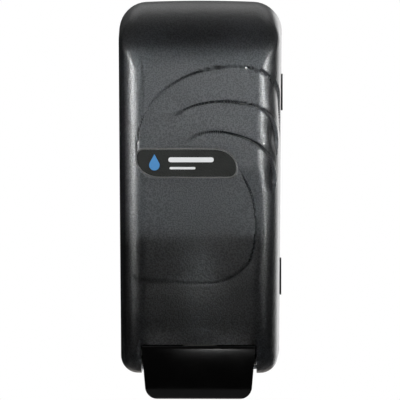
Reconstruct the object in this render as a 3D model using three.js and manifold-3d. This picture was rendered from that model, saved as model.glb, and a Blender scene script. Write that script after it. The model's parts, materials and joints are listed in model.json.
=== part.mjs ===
// A wall mounted push-bar soap dispenser, in millimetres.
// The wall is the plane y = 0, the front faces -Y, +Z is up, and z = 0 is half way up the cover.
import * as THREE from 'three';
import { mergeVertices } from 'three/addons/utils/BufferGeometryUtils.js';
import Module from 'manifold-3d';

const wasm = await Module();
wasm.setup();

// ---------- driving dimensions ----------
const GAP = 0.3; // between pieces that touch
const RUN = 0.5; // between pieces that move past each other

const COVER = {
  halfWidth: 63.3, // at the top, at the rear edge
  halfHeight: 143.4,
  frontY: -97,
  rearY: -3.5,
  wall: 2.5,
  sideFillet: 22, // front face to side walls
  topFillet: 55, // front face to top wall
  bottomFillet: 16,
  topCorner: { rear: 21, front: 9 },
  bottomCorner: { rear: 13, front: 6 },
  taper: 0.0316, // how much narrower the bottom is
  draft: 0.02, // how much narrower the front is
  crownX: 1.2, // how far the front face falls back at the sides
  crownZ: 2.0, // and at the top and bottom
  crownTop: 2.0, // how far the top wall falls at the sides
};
const COVER_DEPTH = COVER.rearY - COVER.frontY;

const COVER_HINGE = { y: -20, z: -128, pinRadius: 2.5, heelRadius: 16.3 };
const LEVER_HINGE = { y: -88, z: -133, pinRadius: 2 };
const POCKET = { halfWidth: 44.2, top: -120.8, backY: -38 }; // the cover's cut-out for the push bar
const CHEEK = { thick: 2.5, backY: -62, top: -112 }; // the cover's walls beside the pocket
const LUG_ROOM = { halfWidth: 57.5, frontY: -24, top: -125 }; // for the plate's lugs as the cover opens
const KEY_SLOT = { width: 5.5, depth: 4, y: -29, centres: [-12.45, -4.15, 4.15, 12.45] };
const CATCH_RIB = { halfWidth: 15, backY: -21.5, thick: 2, bottom: 138 };

const BADGE = {
  x: -9.7, z: 18.3, width: 77, height: 23, thick: 1.2, seatY: -95.9, tilt: -0.0058, largeCorner: 14, smallCorner: 6.5,
  clearance: 0.4,
};

const PLATE = {
  thick: 3, halfTop: 61.6, halfBottom: 59.6, top: 141.8, bottom: -141.8, topCorner: 19.5, bottomCorner: 11.5,
};
const RIM = {
  halfTop: 59.4, halfBottom: 57.4, top: 138.4, thick: 2, frontY: -16, lowest: -108, topCorner: 17.5, bottomCorner: 10,
};
const PLATE_RIB = { x: 25, thick: 3, frontY: -7, bottom: -30, top: 100 };
const EAR = { z: 72.4, height: 28.6, thick: 0.9, gap: 0.3, frontY: -13 };
const LUG = { inner: 50.5, outer: 54.5, radius: 6 };
const WALL_SCREW = { x: 35, topZ: 92, bottomZ: -88, headRadius: 5, shankRadius: 2.5, slot: 9 };
const SCREW = {
  hole: 1.6, shank: 1.3, head: 3, headThick: 1.8, recess: 0.9, slotWidth: 0.8, slotLength: 3.4, length: 5,
};
const CRADLE_SCREWS = [[-32, -52], [32, -52]]; // each pair as [x, z]
const GUIDE_SCREWS = [[-25.5, 129], [25.5, 129]];
const FORK_SCREWS = [[-22, -137], [22, -137]];

const PUMP_Y = -52; // the pump's axis is vertical, at x = 0
const TANK = {
  halfWidth: 54, frontY: -84, backY: -20, bottom: -38, top: 106, wall: 2, corner: 12, edge: 5,
  mouth: 21, mouthWall: 3, mouthTop: 113, outlet: 9.5, outletWall: 3.5, outletBottom: -47,
};
const FILL_CAP = {
  play: 0.4, wall: 2.6, skirt: 1.6, seal: 1.4, roof: 2.1, gripHalf: 21, gripThick: 6, gripHeight: 4,
};
const CRADLE = {
  halfWidth: 56.5, halfRear: 52, rimY: -18, thick: 3.2, frontY: -76, slot: 18.5, lip: 2, lipTop: -30,
  flange: 3, flangeLow: -62, gussetX: 46, gussetThick: 3,
};
const LATCH = {
  halfWidth: 17, backY: -25, frontY: -33, bottom: 129.5, top: 137.2, pocketRadius: 3.1, pocketTop: 134.7,
  grooveInner: 7, grooveOuter: 13, grooveDepth: 1.5,
};
const LATCH_Y = (LATCH.backY + LATCH.frontY) / 2;
const GUIDE = {
  floor: 121.5, floorTop: 123.5, wall: 2, rail: 3, top: 136, flangeHalf: 30, flange: 3, play: 0.4, backTop: 134,
  frontTop: 131, peg: 1.5, pegTop: 127,
};
const LATCH_SPRING = { meanRadius: 2.4, wire: 0.45, turns: 5 };
const FLANGE_BACK = -PLATE.thick - 0.4; // the rear face of a bracket that is screwed to the plate

const BAR = {
  halfTop: 43.4, halfBottom: 40.9, top: -121.3, bottom: -162.3, frontY: -102, cheekBackY: -74,
  wall: 2.8, corner: 10, topCorner: 1.2, bumpRadius: 3.6, bumpOut: 43.9,
  lipY: -100.2, shoulder: [-101.4, -121.7], brow: [-101.8, -123.9], bellyZ: -134, lowBend: [-102.4, -150],
  chin: [-98.5, -160.8],
  chinBend: -97.6, sole: -95, soleBack: -86, cheekLow: -141,
};
const FORK = {
  inner: 9, outer: 13, tipRadius: 3.7, baseHalf: 30, baseFrontY: -96.9, baseBackY: -93.4, baseBottom: -142,
  baseTop: -127, armStart: -94.1, armLow: -141, elbowY: -72, bridge: [-78, -75],
};
const COLLAR = { radius: 14, top: -120, bottom: -123.6 };
const FORK_TIP_Z = COLLAR.bottom - RUN - FORK.tipRadius;
const HINGE_PIN = { headRadius: 4.2, headThick: 1.4, head: 48.8, end: 60.9 };
const LEVER_PIN = { headRadius: 3.2, headThick: 1.2, head: 36.6, end: 46.7 };

// The pump's turned pieces, as [radius, z] round each half section.
const LOCK_RING = [
  [13.4, -40.2], [13.4, -50.2], [10, -50.2], [10, -53], [16.2, -53], [17, -52.2], [17, -40.2], [13.4, -40.2],
];
const GASKET = { inner: 9.8, outer: 12.9, bottom: -48.3, top: -47.3 };
const CYLINDER = [
  [1.7, -48.6], [12.9, -48.6], [12.9, -49.9], [9.2, -49.9], [9.2, -73], [7, -73], [7, -51.6], [1.7, -51.6],
  [1.7, -48.6],
];
const INLET_PORTS = { count: 4, radius: 1, fromAxis: 3.9, bottom: -53, top: -47 };
const END_CAP = [
  [5, -73.3], [9.5, -73.3], [9.5, -66], [11.5, -66], [11.5, -73], [18, -74], [18, -76.4], [5, -76.4], [5, -73.3],
];
const INLET_VALVE = [
  [0, -53], [5.2, -52.6], [5.2, -52], [1.3, -52], [1.3, -48.2], [2.2, -48.2], [1.3, -46.9], [0, -46.9],
];
const STEM = [
  [1.8, -145.5], [4.2, -145.5], [4.2, COLLAR.bottom], [COLLAR.radius, COLLAR.bottom], [COLLAR.radius, COLLAR.top],
  [4.2, COLLAR.top], [4.2, -71.7], [5.8, -71.7], [5.8, -70.4], [3.4, -70.4], [3.4, -67.4], [5.8, -67.4], [5.8, -66],
  [1.8, -66], [1.8, -145.5],
];
const PISTON_SEAL = [[3.7, -70.1], [6.4, -70.1], [6.7, -68.9], [6.4, -67.7], [3.7, -67.7], [3.7, -70.1]];
const NOZZLE = [
  [4.5, -139.5], [7.2, -139.5], [7.2, -146], [4.7, -153.5], [3.4, -153.5], [3.4, -147.3], [4.5, -147.3],
  [4.5, -139.5],
];
const OUTLET_VALVE = [
  [0.5, -155], [1.1, -155], [2.9, -150], [2.9, -147], [4.1, -147], [4.1, -145.9], [0.5, -145.9], [0.5, -155],
];
const PUMP_SPRING = { meanRadius: 7, wire: 0.7, bottom: -119.7, top: -76.7, turns: 7 };

const ROUND = 24; // sides of a round piece
const SMALL_ROUND = 14; // sides of a small one
const BEYOND = 5; // how far a cutting solid reaches past what it cuts

// ---------- solids ----------
function toSolid(geometry) {
  const bare = geometry.clone();
  bare.deleteAttribute('normal');
  bare.deleteAttribute('uv');
  const welded = mergeVertices(bare, 1e-4);
  const vertices = Float32Array.from(welded.attributes.position.array);
  const corners = Array.from(welded.index.array);
  const kept = [];
  for (let i = 0; i < corners.length; i += 3) {
    const [a, b, c] = corners.slice(i, i + 3);
    if (a !== b && b !== c && c !== a) kept.push(a, b, c);
  }
  const at = (n) => new THREE.Vector3().fromArray(vertices, 3 * n);
  let volume = 0;
  for (let i = 0; i < kept.length; i += 3) {
    volume += at(kept[i]).dot(at(kept[i + 1]).cross(at(kept[i + 2])));
  }
  const facingOut = volume > 0 ? kept : kept.reverse();
  return new wasm.Manifold(
    new wasm.Mesh({ numProp: 3, vertProperties: vertices, triVerts: Uint32Array.from(facingOut) }));
}

function toGeometry(solid) {
  const mesh = solid.getMesh();
  const geometry = new THREE.BufferGeometry();
  geometry.setAttribute('position', new THREE.Float32BufferAttribute(mesh.vertProperties, 3));
  geometry.setIndex(Array.from(mesh.triVerts));
  return geometry;
}

const join = (first, ...others) => others.reduce((whole, next) => whole.add(next), first);
const cut = (first, ...others) => others.reduce((whole, next) => whole.subtract(next), first);

// A block between two opposite corners.
function block(x0, x1, y0, y1, z0, z1) {
  const geometry = new THREE.BoxGeometry(x1 - x0, y1 - y0, z1 - z0);
  return toSolid(geometry.translate((x0 + x1) / 2, (y0 + y1) / 2, (z0 + z1) / 2));
}

// A rod along X, from x0 to x1, on the line through (y, z).
function rodX(radius, x0, x1, y, z, sides = SMALL_ROUND) {
  const geometry = new THREE.CylinderGeometry(radius, radius, x1 - x0, sides);
  return toSolid(geometry.rotateZ(Math.PI / 2).translate((x0 + x1) / 2, y, z));
}

// A rod along Y.
function rodY(radius, y0, y1, x, z, sides = SMALL_ROUND) {
  const geometry = new THREE.CylinderGeometry(radius, radius, y1 - y0, sides);
  return toSolid(geometry.translate(x, (y0 + y1) / 2, z));
}

// A rod along Z.
function rodZ(radius, z0, z1, x, y, sides = ROUND) {
  const geometry = new THREE.CylinderGeometry(radius, radius, z1 - z0, sides);
  return toSolid(geometry.rotateX(Math.PI / 2).translate(x, y, (z0 + z1) / 2));
}

// A profile of [radius, z] points, turned about the pump's axis.
function turned(profile, sides = ROUND) {
  const points = profile.map(([radius, z]) => new THREE.Vector2(radius, z));
  const geometry = new THREE.LatheGeometry(points, sides);
  return toSolid(geometry.rotateX(Math.PI / 2).translate(0, PUMP_Y, 0));
}

// A ring about the pump's axis.
function ring(innerRadius, outerRadius, z0, z1, sides = ROUND) {
  return turned(
    [[innerRadius, z0], [outerRadius, z0], [outerRadius, z1], [innerRadius, z1], [innerRadius, z0]], sides);
}

// A shape drawn in (x, z), from y0 back to y1.
function slabY(shape, y0, y1, curveSegments = 6) {
  const geometry = new THREE.ExtrudeGeometry(shape, { depth: y1 - y0, bevelEnabled: false, curveSegments });
  return toSolid(geometry.rotateX(Math.PI / 2).translate(0, y1, 0));
}

// A shape drawn in (y, z), from x0 to x1.
function slabX(shape, x0, x1, curveSegments = 6) {
  const geometry = new THREE.ExtrudeGeometry(shape, { depth: x1 - x0, bevelEnabled: false, curveSegments });
  const turn = new THREE.Matrix4().makeBasis(
    new THREE.Vector3(0, 1, 0), new THREE.Vector3(0, 0, 1), new THREE.Vector3(1, 0, 0));
  return toSolid(geometry.applyMatrix4(turn).translate(x0, 0, 0));
}

function polygon(points) {
  return new THREE.Shape(points.map(([u, v]) => new THREE.Vector2(u, v)));
}

// A four-sided outline in (x, z) with round corners, wider or narrower at the bottom.
function roundedTrapezium(halfTop, halfBottom, top, bottom, topRadius, bottomRadius) {
  const shape = new THREE.Shape();
  shape.absarc(halfTop - topRadius, top - topRadius, topRadius, 0, Math.PI / 2);
  shape.absarc(-halfTop + topRadius, top - topRadius, topRadius, Math.PI / 2, Math.PI);
  shape.absarc(-halfBottom + bottomRadius, bottom + bottomRadius, bottomRadius, Math.PI, 1.5 * Math.PI);
  shape.absarc(halfBottom - bottomRadius, bottom + bottomRadius, bottomRadius, 1.5 * Math.PI, 2 * Math.PI);
  shape.closePath();
  return shape;
}

// A wire of round section wound round a vertical line through (0, y).
function coilSpring(meanRadius, wireRadius, z0, z1, turns, y, stepsPerTurn = 10) {
  class Helix extends THREE.Curve {
    getPoint(t, target = new THREE.Vector3()) {
      const angle = 2 * Math.PI * turns * t;
      const z = z0 + wireRadius + (z1 - z0 - 2 * wireRadius) * t;
      return target.set(meanRadius * Math.cos(angle), y + meanRadius * Math.sin(angle), z);
    }
  }
  const section = new THREE.Shape();
  section.absarc(0, 0, wireRadius, 0, 2 * Math.PI);
  const geometry = new THREE.ExtrudeGeometry(section, {
    steps: Math.round(turns * stepsPerTurn), curveSegments: 3, extrudePath: new Helix(),
  });
  return toSolid(geometry);
}

// ---------- the cover's skin ----------
// How far a fillet of this radius has drawn in at a depth behind the front face.
function fillet(depth, radius) {
  const left = Math.max(0, radius - depth);
  return radius - Math.sqrt(radius * radius - left * left);
}

const between = (a, b, t) => a + (b - a) * t;

// Taper, draft and crown are bends of the whole skin.
function bend(x, depth, z) {
  const { halfWidth, halfHeight, taper, draft, crownX, crownZ, crownTop, frontY } = COVER;
  const forward = Math.max(0, 1 - depth / COVER_DEPTH);
  const u = x / halfWidth;
  const v = z / halfHeight;
  const narrowing = 1 - (taper * (1 - v)) / 2 - draft * forward;
  const fall = v > 0 ? crownTop * u * u * v * v : 0;
  return new THREE.Vector3(
    x * narrowing, frontY + depth + (crownX * u * u + crownZ * v * v) * forward, z - fall);
}

// One ring of the skin: straight sides and four round corners, counter-clockwise from the right side.
function skinRing(depth, inset, shrink = 1) {
  const c = COVER;
  const behind = depth - inset;
  const side = fillet(behind, c.sideFillet - inset);
  const top = fillet(behind, c.topFillet - inset);
  const bottom = fillet(behind, c.bottomFillet - inset);
  const halfWidth = c.halfWidth - inset - side;
  const high = c.halfHeight - inset - top;
  const low = -c.halfHeight + inset + bottom;
  const sideLeft = side / (c.sideFillet - inset);
  const corner = (radii, drawnIn, filletRadius) => [
    between(radii.rear, radii.front, sideLeft) - inset,
    between(radii.rear, radii.front, drawnIn / (filletRadius - inset)) - inset,
  ];
  const [topA, topB] = corner(c.topCorner, top, c.topFillet);
  const [bottomA, bottomB] = corner(c.bottomCorner, bottom, c.bottomFillet);
  const points = [];
  const arc = (cx, cz, a, b, start) => {
    const steps = 5;
    for (let i = 0; i <= steps; i++) {
      const angle = start + ((Math.PI / 2) * i) / steps;
      points.push([cx + a * Math.cos(angle), cz + b * Math.sin(angle)]);
    }
  };
  const straight = (to, steps) => {
    const [x0, z0] = points[points.length - 1];
    for (let i = 1; i < steps; i++) points.push([between(x0, to[0], i / steps), between(z0, to[1], i / steps)]);
  };
  arc(halfWidth - topA, high - topB, topA, topB, 0);
  straight([-halfWidth + topA, high], 3);
  arc(-halfWidth + topA, high - topB, topA, topB, Math.PI / 2);
  straight([-halfWidth, low + bottomB], 3);
  arc(-halfWidth + bottomA, low + bottomB, bottomA, bottomB, Math.PI);
  straight([halfWidth - bottomA, low], 2);
  arc(halfWidth - bottomA, low + bottomB, bottomA, bottomB, 1.5 * Math.PI);
  straight([halfWidth, high - topB], 3);
  const middle = (high + low) / 2;
  return points.map(([x, z]) => bend(x * shrink, depth, middle + (z - middle) * shrink));
}

// The closed solid inside the skin, `inset` below the outer surface, reaching back to `rear`.
function skinSolid(inset, rear) {
  const filletDepths = [0, 0.04, 0.15, 0.33, 0.6, 1].map((t) => inset + t * (COVER.sideFillet - inset));
  const depths = [rear, COVER.topFillet, 38, 29, ...filletDepths.reverse()];
  const rings = depths.map((depth) => skinRing(depth, inset));
  for (const shrink of [0.66, 0.33]) rings.push(skinRing(inset, inset, shrink));
  const count = rings[0].length;
  const vertices = rings.flat();
  const faces = [];
  for (let r = 0; r + 1 < rings.length; r++) {
    for (let i = 0; i < count; i++) {
      const [a, b] = [r * count + i, r * count + ((i + 1) % count)];
      faces.push(a, b, a + count, b, b + count, a + count);
    }
  }
  const cap = (ringIndex) => {
    const points = rings[ringIndex];
    const centre = points.reduce((sum, p) => sum.add(p), new THREE.Vector3()).divideScalar(count);
    vertices.push(centre);
    for (let i = 0; i < count; i++) {
      const [a, b] = [ringIndex * count + i, ringIndex * count + ((i + 1) % count)];
      if (ringIndex === 0) faces.push(b, a, vertices.length - 1);
      else faces.push(a, b, vertices.length - 1);
    }
  };
  cap(0);
  cap(rings.length - 1);
  const geometry = new THREE.BufferGeometry();
  geometry.setAttribute('position', new THREE.Float32BufferAttribute(vertices.flatMap((p) => p.toArray()), 3));
  geometry.setIndex(faces);
  return toSolid(geometry);
}

// The badge's outline in (x, z) about its centre: two corners on a diagonal are large, two are small.
function badgeShape(grow) {
  const [w, h] = [BADGE.width / 2 + grow, BADGE.height / 2 + grow];
  const [large, small] = [BADGE.largeCorner + grow, BADGE.smallCorner + grow];
  const shape = new THREE.Shape();
  shape.absarc(w - large, h - large, large, 0, Math.PI / 2);
  shape.absarc(-w + small, h - small, small, Math.PI / 2, Math.PI);
  shape.absarc(-w + large, -h + large, large, Math.PI, 1.5 * Math.PI);
  shape.absarc(w - small, -h + small, small, 1.5 * Math.PI, 2 * Math.PI);
  shape.closePath();
  return shape;
}

// A slab of the badge's outline whose rear face is at `backY` at the badge's centre.
function badgeSlab(grow, thick, backY) {
  const geometry = new THREE.ExtrudeGeometry(
    badgeShape(grow), { depth: thick, bevelEnabled: false, curveSegments: 6 });
  geometry.rotateX(Math.PI / 2).rotateZ(BADGE.tilt).translate(BADGE.x, backY, BADGE.z);
  return toSolid(geometry);
}

// ---------- sub-parts ----------
function frontCover() {
  const { frontY, wall } = COVER;
  const outer = skinSolid(0, COVER_DEPTH);
  const inner = skinSolid(wall, COVER_DEPTH + BEYOND);
  const below = -COVER.halfHeight - BEYOND;
  const wide = COVER.halfWidth + BEYOND;
  const extras = [
    block(-CATCH_RIB.halfWidth, CATCH_RIB.halfWidth, CATCH_RIB.backY - CATCH_RIB.thick, CATCH_RIB.backY,
      CATCH_RIB.bottom, COVER.halfHeight - 1),
  ];
  for (const side of [-1, 1]) {
    const [a, b] = [side * POCKET.halfWidth, side * (POCKET.halfWidth + CHEEK.thick)].sort((m, n) => m - n);
    extras.push(block(a, b, frontY + 1, CHEEK.backY, below, CHEEK.top));
  }
  const shell = join(cut(outer, inner), ...extras.map((extra) => extra.intersect(outer)));
  const hinge = COVER_HINGE;
  const heel = cut(
    block(-wide, wide, hinge.y, BEYOND, below, hinge.z),
    rodX(hinge.heelRadius, -wide - BEYOND, wide + BEYOND, hinge.y, hinge.z, 40));
  const slots = KEY_SLOT.centres.map((x) => block(
    x - KEY_SLOT.width / 2, x + KEY_SLOT.width / 2, KEY_SLOT.y - KEY_SLOT.depth / 2, KEY_SLOT.y + KEY_SLOT.depth / 2,
    COVER.halfHeight - wall - BEYOND, COVER.halfHeight + BEYOND));
  return cut(
    shell,
    block(-POCKET.halfWidth, POCKET.halfWidth, frontY - BEYOND, POCKET.backY, below, POCKET.top),
    block(-LUG_ROOM.halfWidth, LUG_ROOM.halfWidth, LUG_ROOM.frontY, BEYOND, below, LUG_ROOM.top),
    heel,
    rodX(hinge.pinRadius + GAP, -wide, wide, hinge.y, hinge.z),
    rodX(LEVER_HINGE.pinRadius + GAP, -POCKET.halfWidth - 3, POCKET.halfWidth + 3, LEVER_HINGE.y, LEVER_HINGE.z),
    badgeSlab(BADGE.clearance, BEYOND, BADGE.seatY),
    ...slots);
}

function backPlate() {
  const p = PLATE;
  const base = slabY(
    roundedTrapezium(p.halfTop, p.halfBottom, p.top, p.bottom, p.topCorner, p.bottomCorner), -p.thick, 0);
  const rimOuter = roundedTrapezium(RIM.halfTop, RIM.halfBottom, RIM.top, p.bottom, RIM.topCorner, RIM.bottomCorner);
  const rimInner = roundedTrapezium(
    RIM.halfTop - RIM.thick, RIM.halfBottom - RIM.thick, RIM.top - RIM.thick, p.bottom,
    RIM.topCorner - RIM.thick, RIM.bottomCorner - RIM.thick);
  const wide = p.halfTop + BEYOND;
  const rim = cut(
    slabY(rimOuter, RIM.frontY, -1),
    slabY(rimInner, RIM.frontY - 1, -p.thick + 0.5),
    block(-wide, wide, RIM.frontY - 1, 1, p.bottom - BEYOND, RIM.lowest));
  const parts = [rim];
  for (const side of [-1, 1]) {
    for (const level of [-1, 1]) {
      const z = level * EAR.z;
      const reach = COVER.halfWidth * (1 - (COVER.taper * (1 - z / COVER.halfHeight)) / 2) + EAR.gap;
      const across = (a, b) => [side * a, side * b].sort((m, n) => m - n);
      const [low, high] = [z - EAR.height / 2, z + EAR.height / 2];
      parts.push(block(...across(LUG.inner, reach + EAR.thick), -p.thick, 0, low, high));
      parts.push(block(...across(reach, reach + EAR.thick), EAR.frontY, 0, low, high));
    }
    const [a, b] = [side * LUG.inner, side * LUG.outer].sort((m, n) => m - n);
    const h = COVER_HINGE;
    parts.push(block(a, b, h.y, -1, h.z - LUG.radius, h.z + LUG.radius));
    parts.push(rodX(LUG.radius, a, b, h.y, h.z, 24));
    const rib = PLATE_RIB;
    const [left, right] = [side * rib.x - rib.thick / 2, side * rib.x + rib.thick / 2];
    parts.push(block(left, right, rib.frontY, -1, rib.bottom, rib.top));
  }
  const cuts = [rodX(COVER_HINGE.pinRadius + GAP, -wide, wide, COVER_HINGE.y, COVER_HINGE.z)];
  const w = WALL_SCREW;
  const [front, back] = [PLATE_RIB.frontY - 1, BEYOND];
  for (const x of [-w.x, w.x]) {
    cuts.push(rodY(w.headRadius, front, back, x, w.topZ), rodY(w.shankRadius, front, back, x, w.topZ + w.slot));
    cuts.push(block(x - w.shankRadius, x + w.shankRadius, front, back, w.topZ, w.topZ + w.slot));
    cuts.push(rodY(w.shankRadius, front, back, x, w.bottomZ));
  }
  for (const [x, z] of [...CRADLE_SCREWS, ...GUIDE_SCREWS]) {
    cuts.push(rodY(SCREW.hole, -p.thick - 1, -0.8, x, z));
  }
  return cut(join(base, ...parts), ...cuts);
}

// A pan-head screw along Y with a cross recess. Its head is in front of `seatY`, or behind it if `toward` is -1.
function screw([x, z], seatY, toward = 1) {
  const s = SCREW;
  const along = (a, b) => [seatY + toward * a, seatY + toward * b].sort((m, n) => m - n);
  const recess = along(-GAP - s.headThick - 1, -GAP - s.headThick + s.recess);
  const [long, narrow] = [s.slotLength / 2, s.slotWidth / 2];
  const head = cut(
    rodY(s.head, ...along(-GAP - s.headThick, -GAP), x, z, 16),
    block(x - long, x + long, ...recess, z - narrow, z + narrow),
    block(x - narrow, x + narrow, ...recess, z - long, z + long));
  return join(head, rodY(s.shank, ...along(-GAP - 0.5, s.length), x, z, 10));
}

function reservoirCradle() {
  const c = CRADLE;
  const top = TANK.bottom - 0.4;
  const shelf = block(-c.halfWidth, c.halfWidth, c.frontY, c.rimY, top - c.thick, top);
  const parts = [
    block(-c.halfRear, c.halfRear, c.rimY - 1, FLANGE_BACK, top - c.thick, top),
    block(-c.halfRear, c.halfRear, FLANGE_BACK - c.flange, FLANGE_BACK, c.flangeLow, top),
  ];
  for (const side of [-1, 1]) {
    const [a, b] = [side * (c.halfWidth - c.lip), side * c.halfWidth].sort((m, n) => m - n);
    parts.push(block(a, b, c.frontY, c.rimY, top - 1, c.lipTop));
    const gusset = polygon([[FLANGE_BACK - 1, top - 1], [c.frontY + 8, top - 1], [FLANGE_BACK - 1, c.flangeLow]]);
    parts.push(slabX(gusset, side * c.gussetX - c.gussetThick / 2, side * c.gussetX + c.gussetThick / 2));
  }
  return cut(
    join(shelf, ...parts),
    rodZ(c.slot, top - 2 * BEYOND, top + BEYOND, 0, PUMP_Y),
    block(-c.slot, c.slot, c.frontY - BEYOND, PUMP_Y, top - 2 * BEYOND, top + BEYOND),
    ...CRADLE_SCREWS.map(([x, z]) => rodY(SCREW.hole, FLANGE_BACK - c.flange - BEYOND, 0, x, z)));
}

function tankBody(inset) {
  const t = TANK;
  const [halfWidth, radius] = [t.halfWidth - inset, t.corner - inset];
  const [front, back] = [t.frontY + inset, t.backY - inset];
  const edge = t.edge - inset;
  const shape = new THREE.Shape();
  const [w, r, y0, y1] = [halfWidth - edge, radius - edge, front + edge, back - edge];
  shape.absarc(w - r, y1 - r, r, 0, Math.PI / 2);
  shape.absarc(-w + r, y1 - r, r, Math.PI / 2, Math.PI);
  shape.absarc(-w + r, y0 + r, r, Math.PI, 1.5 * Math.PI);
  shape.absarc(w - r, y0 + r, r, 1.5 * Math.PI, 2 * Math.PI);
  shape.closePath();
  const height = t.top - t.bottom - 2 * inset - 2 * edge;
  const geometry = new THREE.ExtrudeGeometry(shape, {
    depth: height, bevelEnabled: true, bevelSize: edge, bevelThickness: edge, bevelSegments: 2, curveSegments: 4,
  });
  return toSolid(geometry.translate(0, 0, t.bottom + inset + edge));
}

function reservoir() {
  const t = TANK;
  return cut(
    join(
      tankBody(0),
      rodZ(t.mouth + t.mouthWall, t.top - 1, t.mouthTop, 0, PUMP_Y),
      rodZ(t.outlet + t.outletWall, t.outletBottom, t.bottom + 1, 0, PUMP_Y)),
    tankBody(t.wall),
    rodZ(t.mouth, t.top - BEYOND, t.mouthTop + BEYOND, 0, PUMP_Y),
    rodZ(t.outlet, t.outletBottom - BEYOND, t.bottom + BEYOND, 0, PUMP_Y));
}

function fillCap() {
  const c = FILL_CAP;
  const inside = TANK.mouth + TANK.mouthWall + c.play;
  const [low, roof] = [TANK.top + c.skirt, TANK.mouthTop + c.seal];
  const [out, high] = [inside + c.wall, roof + c.roof];
  const cup = turned([
    [0, roof], [inside, roof], [inside, low], [out, low], [out, high - 1], [out - 1, high], [0, high],
  ], 32);
  const half = c.gripThick / 2;
  return join(cup, block(-c.gripHalf, c.gripHalf, PUMP_Y - half, PUMP_Y + half, high - 1, high + c.gripHeight));
}

const capSeal = () => ring(TANK.mouth + 0.2, TANK.mouth + TANK.mouthWall, TANK.mouthTop + GAP, TANK.mouthTop + 1.1);

function latchGuide() {
  const g = GUIDE;
  const wallOut = LATCH.halfWidth + g.play;
  const [back, front] = [LATCH.backY + g.play, LATCH.frontY - g.play];
  const width = wallOut + g.rail;
  const parts = [
    block(-width, width, front - g.wall, back + g.wall, g.floor, g.floorTop),
    block(-width, width, back, back + g.wall, g.floor, g.backTop),
    block(-width, width, front - g.wall, front, g.floor, g.frontTop),
    block(-g.flangeHalf, g.flangeHalf, FLANGE_BACK - g.flange, FLANGE_BACK, g.floor, g.top),
    rodZ(g.peg, g.floor + 0.5, g.pegTop, 0, LATCH_Y, 12),
  ];
  for (const side of [-1, 1]) {
    const [a, b] = [side * wallOut, side * width].sort((m, n) => m - n);
    parts.push(block(a, b, front - g.wall, FLANGE_BACK - 1, g.floor, g.top));
  }
  return cut(
    join(...parts), ...GUIDE_SCREWS.map(([x, z]) => rodY(SCREW.hole, FLANGE_BACK - g.flange - BEYOND, 0, x, z)));
}

function latchSlider() {
  const l = LATCH;
  const grooves = [[-l.grooveOuter, -l.grooveInner], [l.grooveInner, l.grooveOuter]].map(
    ([x0, x1]) => block(x0, x1, l.frontY - 1, l.frontY + l.grooveDepth, l.bottom - 1, l.top - 2));
  return cut(
    block(-l.halfWidth, l.halfWidth, l.frontY, l.backY, l.bottom, l.top),
    rodZ(l.pocketRadius, l.bottom - 1, l.pocketTop, 0, LATCH_Y, 16),
    ...grooves);
}

const latchSpring = () => coilSpring(
  LATCH_SPRING.meanRadius, LATCH_SPRING.wire, GUIDE.floorTop + GAP, LATCH.pocketTop - GAP, LATCH_SPRING.turns,
  LATCH_Y, 8);

const pumpGasket = () => ring(GASKET.inner, GASKET.outer, GASKET.bottom, GASKET.top);

function pumpCylinder() {
  const p = INLET_PORTS;
  const ports = Array.from({ length: p.count }, (_, n) => {
    const angle = ((n + 0.5) * 2 * Math.PI) / p.count;
    return rodZ(p.radius, p.bottom, p.top, p.fromAxis * Math.cos(angle), PUMP_Y + p.fromAxis * Math.sin(angle), 8);
  });
  return cut(turned(CYLINDER), ...ports);
}

const pumpSpring = () => coilSpring(
  PUMP_SPRING.meanRadius, PUMP_SPRING.wire, PUMP_SPRING.bottom, PUMP_SPRING.top, PUMP_SPRING.turns, PUMP_Y);

// A headed pin along X on one side (-1 or 1).
function sidePin(side, radius, pin, y, z) {
  const across = (a, b) => [side * a, side * b].sort((m, n) => m - n);
  return join(
    rodX(pin.headRadius, ...across(pin.head, pin.head + pin.headThick), y, z, 16),
    rodX(radius, ...across(pin.head + pin.headThick - 0.2, pin.end), y, z, 16));
}

const hingePin = (side) => sidePin(side, COVER_HINGE.pinRadius, HINGE_PIN, COVER_HINGE.y, COVER_HINGE.z);

const leverPin = (side) => sidePin(side, LEVER_HINGE.pinRadius, LEVER_PIN, LEVER_HINGE.y, LEVER_HINGE.z);

// The push bar's side view in (y, z), `inset` below its front and lower surfaces.
function barProfile(inset, backY) {
  const shape = new THREE.Shape();
  const b = BAR;
  const grow = inset > 0 ? 2 * BEYOND : 0; // the hollow runs out through the top
  shape.moveTo(backY, b.top + grow);
  shape.lineTo(b.lipY + inset, b.top + grow);
  shape.lineTo(b.lipY + inset, b.top);
  shape.quadraticCurveTo(b.shoulder[0] + inset, b.shoulder[1], b.brow[0] + inset, b.brow[1]);
  shape.lineTo(b.frontY + inset, b.bellyZ);
  shape.quadraticCurveTo(b.lowBend[0] + inset, b.lowBend[1], b.chin[0] + inset, b.chin[1] + inset);
  shape.quadraticCurveTo(b.chinBend + inset, b.bottom + inset, b.sole + inset, b.bottom + inset);
  shape.lineTo(b.soleBack, b.bottom + inset);
  shape.lineTo(backY, b.cheekLow);
  shape.closePath();
  return shape;
}

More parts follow.
